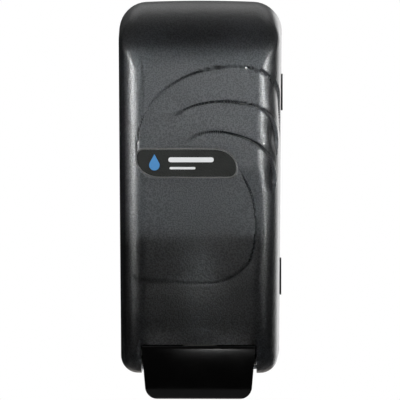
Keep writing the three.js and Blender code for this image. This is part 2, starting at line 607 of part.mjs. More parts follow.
function pushBar() {
  const b = BAR;
  const wide = b.halfTop + BEYOND;
  const [front, back] = [b.frontY - BEYOND, b.cheekBackY + BEYOND];
  const outline = roundedTrapezium(b.halfTop, b.halfBottom, b.top + 0.01, b.bottom, b.topCorner, b.corner);
  const body = slabX(barProfile(0, b.cheekBackY), -wide, wide, 8).intersect(slabY(outline, front, back));
  const hollow = slabX(barProfile(b.wall, back), -b.halfBottom + b.wall, b.halfBottom - b.wall, 8);
  const backBelow = block(-wide, wide, b.soleBack, back, b.bottom - BEYOND, b.cheekLow);
  const boss = rodX(b.bumpRadius, -b.bumpOut, b.bumpOut, LEVER_HINGE.y, LEVER_HINGE.z, 20);
  const shell = cut(body, hollow, backBelow);
  const rounded = join(shell, cut(boss, hollow));
  return cut(
    rounded,
    rodX(LEVER_HINGE.pinRadius + GAP, -wide, wide, LEVER_HINGE.y, LEVER_HINGE.z),
    ...FORK_SCREWS.map(([x, z]) => rodY(SCREW.hole, b.frontY + 1.8, FORK.baseBackY, x, z)));
}

function leverFork() {
  const f = FORK;
  const base = block(-f.baseHalf, f.baseHalf, f.baseFrontY, f.baseBackY, f.baseBottom, f.baseTop);
  const [tipLow, tipHigh] = [FORK_TIP_Z - f.tipRadius, FORK_TIP_Z + f.tipRadius];
  const parts = [];
  for (const side of [-1, 1]) {
    const [a, b] = [side * f.inner, side * f.outer].sort((m, n) => m - n);
    const arm = polygon([
      [f.armStart, f.armLow], [f.armStart, tipHigh], [PUMP_Y, tipHigh], [PUMP_Y, tipLow], [f.elbowY, tipLow - 1],
    ]);
    parts.push(slabX(arm, a, b), rodX(f.tipRadius, a, b, PUMP_Y, FORK_TIP_Z, 20));
  }
  parts.push(block(-f.inner - 1, f.inner + 1, ...f.bridge, FORK_TIP_Z - 2.5, FORK_TIP_Z + 2.5));
  return cut(
    join(base, ...parts),
    ...FORK_SCREWS.map(([x, z]) => rodY(SCREW.hole, f.baseFrontY - 1, f.baseBackY + 1, x, z)));
}

// ---------- materials ----------
const MATERIALS = {
  smoke: { color: 0x2c2e30, roughness: 0.45, metalness: 0 },
  black: { color: 0x141414, roughness: 0.5, metalness: 0 },
  gloss: { color: 0x0a0a0a, roughness: 0.2, metalness: 0 },
  natural: { color: 0xd8d6ce, roughness: 0.5, metalness: 0 },
  grey: { color: 0x8a8a88, roughness: 0.5, metalness: 0 },
  steel: { color: 0xb4b6b8, roughness: 0.3, metalness: 1 },
  rubber: { color: 0x3a3632, roughness: 0.7, metalness: 0 },
  badge: { color: 0x101214, roughness: 0.4, metalness: 0 },
};

// ---------- assembly ----------
const dispenser = new THREE.Group();

function place(name, material, solid) {
  const mesh = new THREE.Mesh(toGeometry(solid), new THREE.MeshStandardMaterial(MATERIALS[material]));
  mesh.name = name;
  dispenser.add(mesh);
}

place('back_plate', 'black', backPlate());
place('latch_guide', 'black', latchGuide());
place('reservoir_cradle', 'black', reservoirCradle());
place('reservoir', 'natural', reservoir());
place('pump_lock_ring', 'grey', turned(LOCK_RING));
place('pump_gasket', 'rubber', pumpGasket());
place('pump_cylinder', 'natural', pumpCylinder());
place('pump_end_cap', 'natural', turned(END_CAP));
place('inlet_valve', 'rubber', turned(INLET_VALVE, SMALL_ROUND));
place('pump_spring', 'steel', pumpSpring());
place('latch_spring', 'steel', latchSpring());
place('front_cover', 'smoke', frontCover());
place('badge_plate', 'badge', badgeSlab(0, BADGE.thick, BADGE.seatY - GAP));
place('push_bar', 'gloss', pushBar());
place('lever_fork', 'black', leverFork());
place('piston_stem', 'natural', turned(STEM));
place('piston_seal', 'rubber', turned(PISTON_SEAL));
place('outlet_nozzle', 'natural', turned(NOZZLE));
place('outlet_valve', 'rubber', turned(OUTLET_VALVE, SMALL_ROUND));
place('latch_slider', 'black', latchSlider());
place('fill_cap', 'black', fillCap());
place('cap_seal', 'rubber', capSeal());
for (const [index, end] of ['left', 'right'].entries()) {
  const side = 2 * index - 1;
  place(`hinge_pin_${end}`, 'steel', hingePin(side));
  place(`lever_pin_${end}`, 'steel', leverPin(side));
  place(`cradle_screw_${end}`, 'steel', screw(CRADLE_SCREWS[index], FLANGE_BACK - CRADLE.flange));
  place(`guide_screw_${end}`, 'steel', screw(GUIDE_SCREWS[index], FLANGE_BACK - GUIDE.flange));
  place(`fork_screw_${end}`, 'steel', screw(FORK_SCREWS[index], FORK.baseBackY, -1));
}

export default dispenser;
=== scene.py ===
"""The looks of a wall mounted push-bar soap dispenser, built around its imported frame.

The row frame is used throughout: the wall is the plane y = 0, the front faces -Y and +Z is up.
Sizes in this script are in millimetres and become metres where a mesh is made.
"""

import json
import math

import bmesh
import bpy
import numpy as np
from mathutils import Matrix, Vector

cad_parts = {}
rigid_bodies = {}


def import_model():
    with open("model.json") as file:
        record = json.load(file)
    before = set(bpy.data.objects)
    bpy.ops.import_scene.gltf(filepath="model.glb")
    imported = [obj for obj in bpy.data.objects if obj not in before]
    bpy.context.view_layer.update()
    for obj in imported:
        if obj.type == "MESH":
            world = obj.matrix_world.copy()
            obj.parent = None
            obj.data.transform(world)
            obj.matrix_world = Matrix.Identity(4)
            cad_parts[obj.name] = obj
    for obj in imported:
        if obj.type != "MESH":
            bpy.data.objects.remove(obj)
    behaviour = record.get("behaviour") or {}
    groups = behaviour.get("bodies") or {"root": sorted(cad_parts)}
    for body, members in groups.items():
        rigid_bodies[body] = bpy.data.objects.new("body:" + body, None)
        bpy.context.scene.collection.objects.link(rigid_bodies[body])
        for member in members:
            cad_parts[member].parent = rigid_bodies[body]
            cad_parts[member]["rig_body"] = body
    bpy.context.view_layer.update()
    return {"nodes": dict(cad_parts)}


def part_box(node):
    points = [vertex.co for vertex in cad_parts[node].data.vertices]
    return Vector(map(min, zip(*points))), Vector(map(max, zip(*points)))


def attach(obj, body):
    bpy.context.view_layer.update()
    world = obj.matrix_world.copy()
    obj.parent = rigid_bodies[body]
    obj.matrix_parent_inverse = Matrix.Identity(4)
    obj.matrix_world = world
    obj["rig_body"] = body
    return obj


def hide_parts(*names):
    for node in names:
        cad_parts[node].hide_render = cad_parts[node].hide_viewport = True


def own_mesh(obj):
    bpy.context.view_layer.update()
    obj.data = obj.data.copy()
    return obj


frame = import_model()

MM = 0.001
DOUBLES = 1e-6  # vertices closer than this, in metres, are one


def span(node):
    """A CAD node's lowest and highest corners, in millimetres."""
    low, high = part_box(node)
    return np.array(low) / MM, np.array(high) / MM


# ---------- sizes shared with the frame ----------
# The cover's skin
HALF_WIDTH, HALF_HEIGHT = 63.3, 143.4
FRONT_Y, REAR_Y, WALL = -97.0, -3.5, 2.5
DEPTH = REAR_Y - FRONT_Y
SIDE_FILLET, TOP_FILLET, BOTTOM_FILLET = 22.0, 55.0, 16.0
TOP_CORNER = (21.0, 9.0)  # at the rear, at the front
BOTTOM_CORNER = (13.0, 6.0)
TAPER, DRAFT = 0.0316, 0.02
CROWN_X, CROWN_Z, CROWN_TOP = 1.2, 2.0, 2.0
COVER_LOW = -HALF_HEIGHT - 5  # clear below the cover

# What is cut from the cover, and what stands inside it
HINGE_Y, HINGE_Z, HINGE_HOLE, HEEL_RADIUS = -20.0, -128.0, 2.8, 16.3
LEVER_Y, LEVER_Z, LEVER_HOLE = -88.0, -133.0, 2.3
POCKET_HALF, POCKET_TOP, POCKET_BACK = 44.2, -120.8, -38.0
CHEEK, CHEEK_BACK, CHEEK_TOP = 2.5, -62, -112
LUG_ROOM_HALF, LUG_ROOM_FRONT, LUG_ROOM_TOP = 57.5, -24, -125
KEY_SLOTS = {"count": 4, "pitch": 8.3, "half": 2.75, "front": -31, "back": -27, "low": 136, "high": 150}
LATCH_RIB = {"half": 15, "front": -23.5, "back": -21.5, "drop": 5.4, "sunk": 1.2}

# The badge, its big and small corners, and how much larger or smaller than its outline its parts are
BADGE_X, BADGE_Z, BADGE_W, BADGE_H = -9.3, 18.2, 78.4, 23.0
BADGE_BIG, BADGE_SMALL = (18, 15), 6.5
BADGE_SEAT, BADGE_RIM, BADGE_RIM_INNER, BADGE_FIELD = 0.6, -0.1, -1.0, -1.3
BADGE_PROUD = 0.45  # how far the badge's y = 0 stands in front of the face

# The push bar
BAR_TOP, BAR_LOW, BAR_FRONT, BAR_LIP = -121.3, -162.3, -102.0, -100.2
BAR_HALF_TOP, BAR_HALF_LOW, BAR_BACK, BAR_SKIN = 43.4, 40.9, -74.0, 2.8
BAR_OPEN = (-86, -141)  # where the bottom wall ends: y, z
BAR_HOLLOW_HALF = 38.1
BAR_SCREWS = {"x": 22, "z": -137, "radius": 1.6}

# The tank and the pump under it
PUMP_Y = -52.0
TANK_HALF, TANK_FRONT, TANK_BACK, TANK_LOW, TANK_HIGH = 54, -84, -20, -38, 106
TANK_CORNER, TANK_WALL = 12, 2.0


# ---------- mesh tools ----------
def new_object(name, vertices, faces):
    """A mesh object from vertices in millimetres."""
    mesh = bpy.data.meshes.new(name)
    mesh.from_pydata((np.asarray(vertices, float) * MM).tolist(), [], faces)
    mesh.validate()
    obj = bpy.data.objects.new(name, mesh)
    bpy.context.scene.collection.objects.link(obj)
    return obj


def tidy_mesh(obj):
    """Merges doubles and turns every face outwards."""
    work = bmesh.new()
    work.from_mesh(obj.data)
    bmesh.ops.remove_doubles(work, verts=work.verts, dist=DOUBLES)
    bmesh.ops.recalc_face_normals(work, faces=work.faces)
    work.to_mesh(obj.data)
    work.free()
    return obj


def smooth(obj, degrees=35):
    """Smooth shading, with edges sharper than this left sharp."""
    obj.data.shade_smooth()
    obj.data.set_sharp_from_angle(angle=math.radians(degrees))
    return obj


def apply_modifiers(obj):
    """Makes the object's modifiers part of its mesh."""
    bpy.context.view_layer.update()
    evaluated = obj.evaluated_get(bpy.context.evaluated_depsgraph_get())
    mesh = bpy.data.meshes.new_from_object(evaluated)
    obj.modifiers.clear()
    old = obj.data
    obj.data = mesh
    mesh.name = obj.name
    bpy.data.meshes.remove(old)
    return obj


def boolean(obj, others, operation="DIFFERENCE"):
    """Cuts the others from obj, or joins them to it, and removes them."""
    for other in others:
        modifier = obj.modifiers.new("cut", "BOOLEAN")
        modifier.operation = operation
        modifier.solver = "MANIFOLD"
        modifier.object = other
    apply_modifiers(obj)
    for other in others:
        bpy.data.objects.remove(other)
    return obj


def bevel(obj, width, segments=2, degrees=40):
    """Rounds the edges sharper than the angle."""
    modifier = obj.modifiers.new("round", "BEVEL")
    modifier.width = width * MM
    modifier.segments = segments
    modifier.limit_method = "ANGLE"
    modifier.angle_limit = math.radians(degrees)
    return apply_modifiers(obj)


def block(name, x0, x1, y0, y1, z0, z1):
    """A box between two places along each axis."""
    corners = [(x, y, z) for x in (x0, x1) for y in (y0, y1) for z in (z0, z1)]
    faces = [(0, 1, 3, 2), (4, 6, 7, 5), (0, 4, 5, 1), (2, 3, 7, 6), (0, 2, 6, 4), (1, 5, 7, 3)]
    return tidy_mesh(new_object(name, corners, faces))


def turned(name, profile, centre=(0.0, PUMP_Y), segments=72):
    """A closed profile of (radius, height) points, turned about an upright line."""
    profile = np.asarray(profile, float)
    angles = np.linspace(0, 2 * math.pi, segments, endpoint=False)
    c, s = np.cos(angles)[:, None], np.sin(angles)[:, None]
    count = len(profile)
    radius = profile[:, 0][None]
    height = np.broadcast_to(profile[:, 1][None], (segments, count))
    points = np.stack([radius * c + centre[0], radius * s + centre[1], height], -1)
    faces = []
    for i in range(segments):
        for j in range(count):
            here, there = i * count, (i + 1) % segments * count
            k = (j + 1) % count
            faces.append((here + j, there + j, there + k, here + k))
    return tidy_mesh(new_object(name, points.reshape(-1, 3), faces))


def prism(name, outline, low, high, axis):
    """A closed outline, extruded along x, y or z. Its points are in the other two axes, in x, y, z order."""
    outline = np.asarray(outline, float)
    count = len(outline)
    places = {"x": (1, 2), "y": (0, 2), "z": (0, 1)}[axis]
    points = np.zeros((2 * count, 3))
    points[:count, places[0]] = points[count:, places[0]] = outline[:, 0]
    points[:count, places[1]] = points[count:, places[1]] = outline[:, 1]
    along = "xyz".index(axis)
    points[:count, along], points[count:, along] = low, high
    faces = [tuple(range(count)), tuple(range(2 * count - 1, count - 1, -1))]
    faces += [(i, (i + 1) % count, (i + 1) % count + count, i + count) for i in range(count)]
    return tidy_mesh(new_object(name, points, faces))


def arc(cx, cy, radius, start, end, steps=10):
    """Points on an arc, angles in degrees."""
    angles = np.radians(np.linspace(start, end, steps + 1))
    return [(cx + radius * math.cos(a), cy + radius * math.sin(a)) for a in angles]


def round_trapezium(half_top, half_low, top, low, top_radius, low_radius, steps):
    """A symmetrical four-sided outline with rounded corners, in (x, z)."""
    return (
        arc(half_top - top_radius, top - top_radius, top_radius, 0, 90, steps)
        + arc(-half_top + top_radius, top - top_radius, top_radius, 90, 180, steps)
        + arc(-half_low + low_radius, low + low_radius, low_radius, 180, 270, steps)
        + arc(half_low - low_radius, low + low_radius, low_radius, 270, 360, steps)
    )


def tube_faces(rings, count):
    """The quads between rings of `count` points each."""
    return [
        (r * count + i, r * count + (i + 1) % count, (r + 1) * count + (i + 1) % count, (r + 1) * count + i)
        for r in range(rings - 1) for i in range(count)]


def coil(name, mean, wire, z0, z1, turns, centre_y, per_turn=36, sides=10):
    """A wire wound round an upright line, its first and last turns closed up."""
    closed = 0.8  # turns at each end
    share = 0.9  # of the height that the open turns climb
    count = int(turns * per_turn)
    t = np.linspace(0, 1, count)
    rise = np.clip((t * turns - closed) / (turns - 2 * closed), 0, 1)
    height = z0 + wire + (z1 - z0 - 2 * wire) * (rise * share + (1 - share) * t)
    angle = 2 * math.pi * turns * t
    centre = np.stack([mean * np.cos(angle), centre_y + mean * np.sin(angle), height], -1)
    out = np.stack([np.cos(angle), np.sin(angle), np.zeros(count)], -1)
    ring = 2 * math.pi * np.arange(sides) / sides
    up = np.array([0, 0, 1.0])
    points = centre[:, None] + wire * (
        np.cos(ring)[None, :, None] * out[:, None] + np.sin(ring)[None, :, None] * up)
    faces = tube_faces(count, sides)
    faces += [tuple(range(sides)), tuple(range((count - 1) * sides, count * sides))[::-1]]
    return smooth(tidy_mesh(new_object(name, points.reshape(-1, 3), faces)))


def even_normals(obj):
    """Lets the large faces set the shading, so that flat walls stay flat up to their rounded edges."""
    modifier = obj.modifiers.new("normals", "WEIGHTED_NORMAL")
    modifier.weight = 90
    modifier.keep_sharp = True
    return apply_modifiers(obj)


def rounded_copy(node, name, width, segments=2):
    """A CAD node's shape with its sharp edges rounded, as a new piece that stands for it."""
    mesh = frame["nodes"][node].data.copy()
    obj = bpy.data.objects.new(name, mesh)
    bpy.context.scene.collection.objects.link(obj)
    mesh.materials.clear()
    work = bmesh.new()
    work.from_mesh(mesh)
    bmesh.ops.remove_doubles(work, verts=work.verts, dist=2 * DOUBLES)
    flat = math.radians(1.0)
    bmesh.ops.dissolve_limit(work, angle_limit=flat, verts=work.verts, edges=work.edges)
    work.to_mesh(mesh)
    work.free()
    for layer in [a.name for a in mesh.attributes if a.name.startswith("custom") or a.name == "sharp_face"]:
        mesh.attributes.remove(mesh.attributes[layer])
    bevel(obj, width, segments)
    return even_normals(smooth(obj))


def finish_piece(obj, body, slot, material, *nodes):
    """Gives a piece its material and its body, and hides the CAD nodes it stands for. The slot is not used.
    """
    obj.data.materials.clear()
    obj.data.materials.append(material)
    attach(obj, body)
    if nodes:
        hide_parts(*nodes)


# ---------- the cover's skin ----------
def fillet(depth, radius):
    """How far a round edge draws its face in, at a depth behind the front."""
    left = np.maximum(0.0, radius - depth)
    return radius - np.sqrt(np.maximum(0.0, radius * radius - left * left))


def bend(x, depth, z):
    """Taper, draft and crown, as bends of the whole skin."""
    forward = np.maximum(0.0, 1 - depth / DEPTH)
    u, v = x / HALF_WIDTH, z / HALF_HEIGHT
    narrowing = 1 - TAPER * (1 - v) / 2 - DRAFT * forward
    fall = np.where(v > 0, CROWN_TOP * u * u * v * v, 0)
    y = FRONT_Y + depth + (CROWN_X * u * u + CROWN_Z * v * v) * forward
    return np.stack([x * narrowing, y, z - fall], -1)


def side_steps(coarse, fine):
    """Places from 0 to 1 up a side wall, closer together where the relief is."""
    low, high = 0.32, 0.86
    return np.concatenate([
        np.linspace(0, low, coarse, endpoint=False), np.linspace(low, high, fine, endpoint=False),
        np.linspace(high, 1, coarse // 2 + 1)])


def rectangle_ring(half, low, high, top_a, top_b, low_a, low_b, steps):
    """A rounded rectangle's points in (x, z), counter-clockwise from the right side's top."""
    corner, across, up = steps
    quarter = np.linspace(0, math.pi / 2, corner + 1)[:-1]

    def rounded(cx, cz, a, b, start):
        return np.stack([cx + a * np.cos(start + quarter), cz + b * np.sin(start + quarter)], -1)

    def line(start, end, places):
        start, end = np.array(start), np.array(end)
        return start + (end - start) * places[:-1, None]

    flat = np.linspace(0, 1, across + 1)
    return np.concatenate([
        rounded(half - top_a, high - top_b, top_a, top_b, 0),
        line((half - top_a, high), (-half + top_a, high), flat),
        rounded(-half + top_a, high - top_b, top_a, top_b, math.pi / 2),
        line((-half, high - top_b), (-half, low + low_b), 1 - up[::-1]),
        rounded(-half + low_a, low + low_b, low_a, low_b, math.pi),
        line((-half + low_a, low), (half - low_a, low), flat),
        rounded(half - low_a, low + low_b, low_a, low_b, 1.5 * math.pi),
        line((half, low + low_b), (half, high - top_b), up)])


def mix(a, b, t):
    """From a to b as t goes from 0 to 1."""
    return a + (b - a) * t


def skin_measures(depth, inset):
    """The rounded rectangle at a depth behind the front face."""
    behind = depth - inset
    side, top, low = (fillet(behind, r - inset) for r in (SIDE_FILLET, TOP_FILLET, BOTTOM_FILLET))
    left = side / (SIDE_FILLET - inset)
    return (
        HALF_WIDTH - inset - side,
        -HALF_HEIGHT + inset + low,
        HALF_HEIGHT - inset - top,
        mix(*TOP_CORNER, left) - inset,
        mix(*TOP_CORNER, top / (TOP_FILLET - inset)) - inset,
        mix(*BOTTOM_CORNER, left) - inset,
        mix(*BOTTOM_CORNER, low / (BOTTOM_FILLET - inset)) - inset,
    )


def skin(name, inset, rear, steps, fillet_rings, side_rings, cap_rings):
    """The closed solid inside the cover's skin, `inset` below the outer surface."""
    turn = np.linspace(0, math.pi / 2, fillet_rings)
    curved = inset + (SIDE_FILLET - inset) * (1 - np.cos(turn))
    straight = SIDE_FILLET + (rear - SIDE_FILLET) * np.linspace(0, 1, side_rings + 1)[1:] ** 1.3
    depths = np.concatenate([curved, straight])[::-1]
    rings = []
    for depth in depths:
        flat = rectangle_ring(*skin_measures(depth, inset), steps)
        rings.append(bend(flat[:, 0], depth, flat[:, 1]))
    half, low, high, top_a, top_b, low_a, low_b = skin_measures(inset, inset)
    for drawn_in in half * np.linspace(0, 1, cap_rings + 1)[1:]:
        shrunk = [max(r - drawn_in, 0.0) for r in (top_a, top_b, low_a, low_b)]
        flat = rectangle_ring(half - drawn_in, low + drawn_in, high - drawn_in, *shrunk, steps)
        rings.append(bend(flat[:, 0], inset, flat[:, 1]))
    count = len(rings[0])
    here = np.arange(count)
    there = (here + 1) % count
    starts = (np.arange(len(rings) - 1) * count)[:, None]
    quads = np.stack([starts + here, starts + there, starts + there + count, starts + here + count], -1)
    faces = quads.reshape(-1, 4).tolist() + [tuple(range(count))[::-1]]
    return tidy_mesh(new_object(name, np.concatenate(rings), faces))


# ---------- the swirl relief ----------
def ease(low, high, value):
    """0 at low, 1 at high, smooth between them. High may be the smaller."""
    t = np.clip((value - low) / (high - low), 0, 1)
    return t * t * (3 - 2 * t)


# Each step follows an ellipse in the unrolled face, at a tilt in degrees. It starts between two places across
# the face, its depth grows between two others, and inside it the surface rises back over the ramp.
SWIRLS = [
    {"centre": (21.8, 34.6), "half": (70.8, 57.9), "tilt": 7.7, "depth": (0.15, 1.7), "grow": (-30, 62),
     "start": (-60, -52), "ramp": 24},
    {"centre": (20.6, 34.7), "half": (52.2, 31.3), "tilt": -1.5, "depth": (0.1, 1.9), "grow": (-22, 48),
     "start": (-26, -14), "ramp": 21},
    {"centre": (29.1, 16.3), "half": (41.7, 22.7), "tilt": -23.0, "depth": (0.1, 1.9), "grow": (-8, 50),
     "start": (-12, 0), "ramp": 20},
]
SWIRL_ENDS = (-0.35, 0.05)  # where a step fades out on its way down, as a share of its ellipse's half height
STEP = 1.0  # the width of a step's wall
BEAD = 0.16  # height of the bead along a step's outer edge, as a share of the step
GROOVE = 0.4  # depth of the groove at a step's foot, as a share of the step
LINE = 1.05  # depth that the groove has where the step itself has almost none
# The last step runs down an arc on the right, turns a corner of radius `turn` and ends along a sagging floor.
TAIL = {"centre": (-34.5, -29.6), "radius": 77.6, "floor": -73.0, "sag": 800.0, "turn": 16.0, "depth": 0.75,
        "ramp": 13, "low_share": 0.4}
UNROLL = 0.8  # how much of the way back along the side counts as width
RELIEF_ENDS = (18, 46)  # where the relief fades out behind the face


def ridge(past, middle, width):
    """A smooth hump of height 1."""
    return np.exp(-((past - middle) / width) ** 2)


def step_relief(past, ramp, depth, presence):
    """A step down at 0 with a bead before it and a groove at its foot, rising slowly back to the face."""
    groove = (LINE * presence + GROOVE * depth) * ridge(past, 0.8, 0.5)
    bead = BEAD * depth * ridge(past, -0.55, 0.55)
    return depth * ease(0, STEP, past) * (1 - ease(STEP, ramp, past)) + groove - bead


def swirl_relief(swirl, u, z):
    """One curved step. Its distance from the ellipse is the ellipse's value over its slope."""
    tiny = 1e-6
    (cx, cz), (a, b), tilt = swirl["centre"], swirl["half"], math.radians(swirl["tilt"])
    across = (u - cx) * math.cos(tilt) + (z - cz) * math.sin(tilt)
    up = -(u - cx) * math.sin(tilt) + (z - cz) * math.cos(tilt)
    rho = np.sqrt((across / a) ** 2 + (up / b) ** 2)
    slope = np.sqrt(across**2 / a**4 + up**2 / b**4) / np.maximum(rho, tiny)
    inside = (1 - rho) / np.maximum(slope, tiny)
    presence = ease(*swirl["start"], u) * ease(SWIRL_ENDS[0] * b, SWIRL_ENDS[1] * b, up)
    depth = mix(*swirl["depth"], ease(*swirl["grow"], u)) * presence
    return step_relief(inside, swirl["ramp"], depth, presence)


def tail_relief(u, z):
    """The step that runs down the right of the face and back along its lower part."""
    cx, cz = TAIL["centre"]
    beside = np.hypot(u - cx, z - cz) - TAIL["radius"]
    below = TAIL["floor"] + u * u / TAIL["sag"] - z
    turn = TAIL["turn"]
    outside = (
        np.hypot(np.maximum(beside + turn, 0), np.maximum(below + turn, 0)) - turn
        + np.minimum(np.maximum(beside, below) + turn, 0))
    right = (1 - ease(2, 16, z)) * ease(20, 30, u)
    low = TAIL["low_share"] * ease(-56, -48, u) * ease(-50, -62, z) * (1 - ease(20, 40, u))
    presence = np.maximum(right * (1 - 0.6 * ease(-50, -66, z)), low)
    return step_relief(outside, TAIL["ramp"], TAIL["depth"] * presence, presence)


def relief(points):
    """How deep the skin is pressed in at each point, in millimetres."""
    x, y, z = points.T
    behind = np.maximum(0.0, y - FRONT_Y - CROWN_X)
    u = x + np.sign(x) * UNROLL * behind
    total = sum(swirl_relief(swirl, u, z) for swirl in SWIRLS) + tail_relief(u, z)
    return total * (1 - ease(*RELIEF_ENDS, behind))


def press_relief(obj):
    """Moves each of the skin's vertices inwards by the relief's depth."""
    mesh = obj.data
    count = len(mesh.vertices)
    places, normals = np.zeros(count * 3), np.zeros(count * 3)
    mesh.vertices.foreach_get("co", places)
    mesh.vertex_normals.foreach_get("vector", normals)
    places, normals = places.reshape(-1, 3), normals.reshape(-1, 3)
    pressed = places - normals * (relief(places / MM) * MM)[:, None]
    mesh.vertices.foreach_set("co", pressed.ravel())
    mesh.update()
    return obj


def badge_outline(grow):
    """The badge's outline in (x, z), larger by `grow`: two opposite corners are big and two are small."""
    w, h = BADGE_W / 2 + grow, BADGE_H / 2 + grow
    wide, tall, small = BADGE_BIG[0] + grow, BADGE_BIG[1] + grow, BADGE_SMALL + grow

    def corner(side, end, across, up, start):
        turn = np.radians(np.linspace(start, start + 90, 15))
        x = side * (w - across) + across * np.cos(turn)
        z = end * (h - up) + up * np.sin(turn)
        return np.stack([x, z], -1)

    return np.concatenate([
        corner(1, 1, wide, tall, 0), corner(-1, 1, small, small, 90),
        corner(-1, -1, wide, tall, 180), corner(1, -1, small, small, 270)]) + (BADGE_X, BADGE_Z)


# ---------- materials ----------
def node_material(name, colour, roughness):
    """A material, its nodes, its links and its main shader."""
    material = bpy.data.materials.new(name)
    material.use_nodes = True
    nodes, links = material.node_tree.nodes, material.node_tree.links
    shader = nodes["Principled BSDF"]
    shader.inputs["Base Color"].default_value = (*colour, 1)
    shader.inputs["Roughness"].default_value = roughness
    return material, nodes, links, shader


def noise(nodes, links, scale, detail):
    """Noise in the row frame, one feature about 1/scale metres."""
    place = nodes.new("ShaderNodeTexCoord")
    texture = nodes.new("ShaderNodeTexNoise")
    texture.inputs["Scale"].default_value = scale
    texture.inputs["Detail"].default_value = detail
    links.new(place.outputs["Object"], texture.inputs["Vector"])
    return texture.outputs["Fac"]


def set_ranges(node, *numbers):
    """Sets a Map Range node's two input limits, then its two output limits."""
    for socket, number in zip(("From Min", "From Max", "To Min", "To Max"), numbers):
        node.inputs[socket].default_value = number


def spread(nodes, links, value, low, high, from_low=0.3, from_high=0.7):
    """The value, mapped to a new range."""
    remap = nodes.new("ShaderNodeMapRange")
    set_ranges(remap, from_low, from_high, low, high)
    links.new(value, remap.inputs["Value"])
    return remap.outputs["Result"]


def tint(nodes, links, value, first, second, start=0.3, end=0.7):
    """Two colours, mixed by the value."""
    ramp = nodes.new("ShaderNodeValToRGB")
    ramp.color_ramp.elements[0].position = start
    ramp.color_ramp.elements[1].position = end
    ramp.color_ramp.elements[0].color = (*first, 1)
    ramp.color_ramp.elements[1].color = (*second, 1)
    links.new(value, ramp.inputs["Fac"])
    return ramp.outputs["Color"]


def bump(nodes, links, shader, height, distance):
    """Fine relief in the shading, up to `distance` millimetres high."""
    node = nodes.new("ShaderNodeBump")
    node.inputs["Strength"].default_value = 1.0
    node.inputs["Distance"].default_value = distance * MM
    links.new(height, node.inputs["Height"])
    links.new(node.outputs["Normal"], shader.inputs["Normal"])


def moulded(name, dark, light, roughness, grain_scale, grain_height, specular=0.5):
    """A moulded plastic: grained surface, slight clouding in colour and gloss."""
    material, nodes, links, shader = node_material(name, dark, roughness)
    cloud = noise(nodes, links, 45, 4)
    links.new(tint(nodes, links, cloud, dark, light), shader.inputs["Base Color"])
    links.new(spread(nodes, links, cloud, roughness - 0.04, roughness + 0.06), shader.inputs["Roughness"])
    bump(nodes, links, shader, noise(nodes, links, grain_scale, 2), grain_height)
    shader.inputs["Specular IOR Level"].default_value = specular
    return material


# Painted shade: darkening the smoke's colour by view angle makes the cover's curved edges read dark; the
# longer path through the tinted wall gives only a little of it.
EDGE_SHADE = (0.03, 0.033, 0.036)  # what the smoke's colour is multiplied by where the surface turns away from the camera: painted shade
EDGE_SHADE_FROM_TO = (0.08, 0.45)  # how far the surface is turned away where the painted shade starts and is full


def smoke_plastic(name, clear, cloudy, low, high, grain):
    """Translucent smoke grey with a fine moulded grain, with painted shade darkening it where the surface
    turns away from the camera.
    """
    material, nodes, links, shader = node_material(name, clear, low)
    shader.inputs["Transmission Weight"].default_value = 1.0
    shader.inputs["IOR"].default_value = 1.49
    speck = noise(nodes, links, 1000, 0)
    edge = nodes.new("ShaderNodeLayerWeight")
    edge.inputs["Blend"].default_value = 0.5
    # Painted shade: the colour is darkened as the surface turns away from the camera.
    shade_edges = nodes.new("ShaderNodeMix")
    shade_edges.data_type = "RGBA"
    shade_edges.blend_type = "MULTIPLY"
    shade_edges.inputs["B"].default_value = (*EDGE_SHADE, 1)
    links.new(spread(nodes, links, edge.outputs["Facing"], 0.0, 1.0, *EDGE_SHADE_FROM_TO), shade_edges.inputs["Factor"])
    links.new(tint(nodes, links, speck, clear, cloudy, 0.4, 0.6), shade_edges.inputs["A"])
    links.new(shade_edges.outputs["Result"], shader.inputs["Base Color"])
    links.new(spread(nodes, links, noise(nodes, links, 60, 3), low, high), shader.inputs["Roughness"])
    bump(nodes, links, shader, speck, grain)
    return material


def steel():
    """Drawn and turned steel, its gloss in fine streaks."""
    material, nodes, links, shader = node_material("drawn_steel", (0.62, 0.63, 0.64), 0.28)
    shader.inputs["Metallic"].default_value = 1.0
    streak = noise(nodes, links, 900, 2)
    links.new(spread(nodes, links, streak, 0.2, 0.4), shader.inputs["Roughness"])
    bump(nodes, links, shader, streak, 0.01)
    return material


